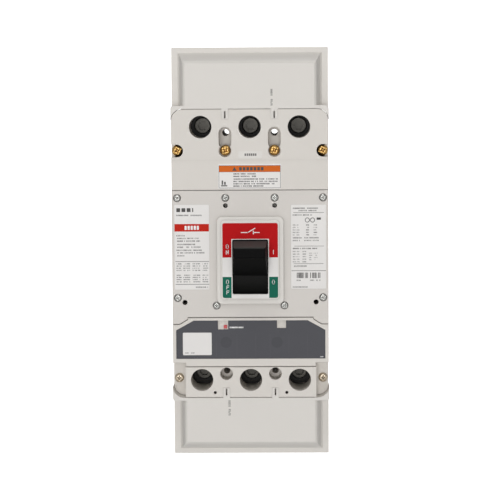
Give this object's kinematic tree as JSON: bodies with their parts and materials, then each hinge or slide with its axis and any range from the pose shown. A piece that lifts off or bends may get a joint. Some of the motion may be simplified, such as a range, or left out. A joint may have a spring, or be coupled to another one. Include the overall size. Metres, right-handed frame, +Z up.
{
  "type": "molded case breaker",
  "caption": "Three-pole molded case breaker with a toggle handle, a push-to-trip button, screw terminals and long terminal shields at both ends.",
  "frame": {"origin": "centre of the four mounting holes on the back plane", "axes": "+Z up towards the line terminals, +Y out of the back, so the handle faces -Y, and +X to the right as seen from the front"},
  "size_m": [0.14, 0.1406, 0.3666],
  "materials": {
    "moulded_lid": "fine matte moulding",
    "aluminium_lug": "tin plated aluminium",
    "moulded_base": "fine matte moulding",
    "black_plastic": "black moulded plastic",
    "copper_braid": "woven copper braid",
    "copper": "bare copper bar",
    "dark_face": "dark printed face",
    "dark_steel": "blackened steel",
    "moulded_escutcheon": "fine matte moulding",
    "arc_fibre": "vulcanised fibre",
    "yellow_zinc": "yellow passivated zinc",
    "handle_label": "printed film, satin",
    "printed_label": "printed film, satin",
    "moulded_cover": "fine matte moulding",
    "phenolic_bar": "dark phenolic moulding",
    "red_plastic": "red moulded plastic",
    "moulded_shield": "fine matte moulding",
    "silver_contact": "silver alloy",
    "spring_steel": "spring wire",
    "plated_steel": "zinc plated steel",
    "bright_zinc": "bright zinc"
  },
  "bodies": {
    "case": {"base": "moulded_base", "line_cover": "moulded_cover", "load_cover": "moulded_cover", "accessory_lid": "moulded_lid", "escutcheon": "moulded_escutcheon", "handle_label": "handle_label", "line_shield": "moulded_shield", "load_shield": "moulded_shield", "trip_housing": "moulded_cover", "trip_face_plate": "dark_face", "trip_blank_label": "printed_label", "trip_button_spring": "spring_steel", "line_cover_screws": "yellow_zinc", "load_cover_screws": "bright_zinc", "lid_screws": "bright_zinc", "left_label": "printed_label", "right_label": "printed_label", "information_label": "printed_label", "small_label": "printed_label", "mechanism_frame": "plated_steel", "cradle": "plated_steel", "fixed_contacts": "silver_contact", "flexible_leads": "copper_braid", "bimetals": "plated_steel", "magnet_yokes": "plated_steel", "line_set_screws": "dark_steel", "load_set_screws": "dark_steel", "arc_plates": "plated_steel", "arc_walls": "arc_fibre", "line_conductor_left": "copper", "load_conductor_left": "copper", "line_lug_left": "aluminium_lug", "load_lug_left": "aluminium_lug", "line_conductor_centre": "copper", "load_conductor_centre": "copper", "line_lug_centre": "aluminium_lug", "load_lug_centre": "aluminium_lug", "line_conductor_right": "copper", "load_conductor_right": "copper", "line_lug_right": "aluminium_lug", "load_lug_right": "aluminium_lug"},
    "handle": {"handle": "black_plastic", "handle_slide": "black_plastic", "handle_yoke": "plated_steel", "mechanism_springs": "spring_steel"},
    "contact_carrier": {"crossbar": "phenolic_bar", "contact_arm_left": "copper", "contact_arm_centre": "copper", "contact_arm_right": "copper", "moving_contacts": "silver_contact", "contact_springs": "spring_steel"},
    "upper_toggle": {"upper_links": "plated_steel", "toggle_pin": "plated_steel"},
    "lower_toggle": {"lower_links": "plated_steel"},
    "latch": {"latch_lever": "plated_steel"},
    "trip_shaft": {"trip_bar": "phenolic_bar"},
    "button": {"trip_button": "red_plastic"},
    "armature_left": {"armature_left": "plated_steel"},
    "armature_centre": {"armature_centre": "plated_steel"},
    "armature_right": {"armature_right": "plated_steel"}
  },
  "joints": [
    {"name": "handle_pivot", "type": "hinge", "parent": "case", "child": "handle", "pos_m": [0, -0.065, -0.0111], "axis": [1, 0, 0], "range_deg": [0, 24], "deforming": ["mechanism_springs"]},
    {"name": "crossbar_turn", "type": "hinge", "parent": "case", "child": "contact_carrier", "pos_m": [0, -0.03, -0.022], "axis": [1, 0, 0], "range_deg": [0, 28], "deforming": ["flexible_leads"]},
    {"name": "upper_links_turn", "type": "hinge", "parent": "case", "child": "upper_toggle", "pos_m": [0, -0.064, -0.029], "axis": [1, 0, 0], "range_deg": [0, 28.2]},
    {"name": "lower_links_turn", "type": "hinge", "parent": "contact_carrier", "child": "lower_toggle", "pos_m": [0, -0.036, -0.008], "axis": [1, 0, 0], "range_deg": [-52.6, 0]},
    {"name": "button_press", "type": "slide", "parent": "case", "child": "button", "axis": [0, 1, 0], "range_m": [0, 0.002], "stiffness_N_per_m": 400, "springref_m": -0.001, "deforming": ["trip_button_spring"]},
    {"name": "trip_bar_turn", "type": "hinge", "parent": "case", "child": "trip_shaft", "pos_m": [0, -0.06, -0.082], "axis": [1, 0, 0], "range_deg": [-6.8, 0]},
    {"name": "latch_turn", "type": "hinge", "parent": "case", "child": "latch", "pos_m": [0, -0.06, -0.054], "axis": [1, 0, 0], "range_deg": [0, 5.8]},
    {"name": "armature_left_tilt", "type": "hinge", "parent": "case", "child": "armature_left", "pos_m": [-0.0437, -0.016, -0.071], "axis": [1, 0, 0], "range_deg": [0, 6], "stiffness_Nm_per_rad": 0.3, "springref_deg": -5.73},
    {"name": "armature_centre_tilt", "type": "hinge", "parent": "case", "child": "armature_centre", "pos_m": [0, -0.016, -0.071], "axis": [1, 0, 0], "range_deg": [0, 6], "stiffness_Nm_per_rad": 0.3, "springref_deg": -5.73},
    {"name": "armature_right_tilt", "type": "hinge", "parent": "case", "child": "armature_right", "pos_m": [0.0437, -0.016, -0.071], "axis": [1, 0, 0], "range_deg": [0, 6], "stiffness_Nm_per_rad": 0.3, "springref_deg": -5.73}
  ],
  "couplings": [
    {"joint": "crossbar_turn", "follows": "handle_pivot", "ratio": 1.1667},
    {"joint": "upper_links_turn", "follows": "handle_pivot", "ratio": 1.1747},
    {"joint": "lower_links_turn", "follows": "handle_pivot", "ratio": -2.1907},
    {"joint": "trip_bar_turn", "follows": "button_press", "rad_per_m": -58.8},
    {"joint": "latch_turn", "follows": "button_press", "rad_per_m": 50}
  ]
}
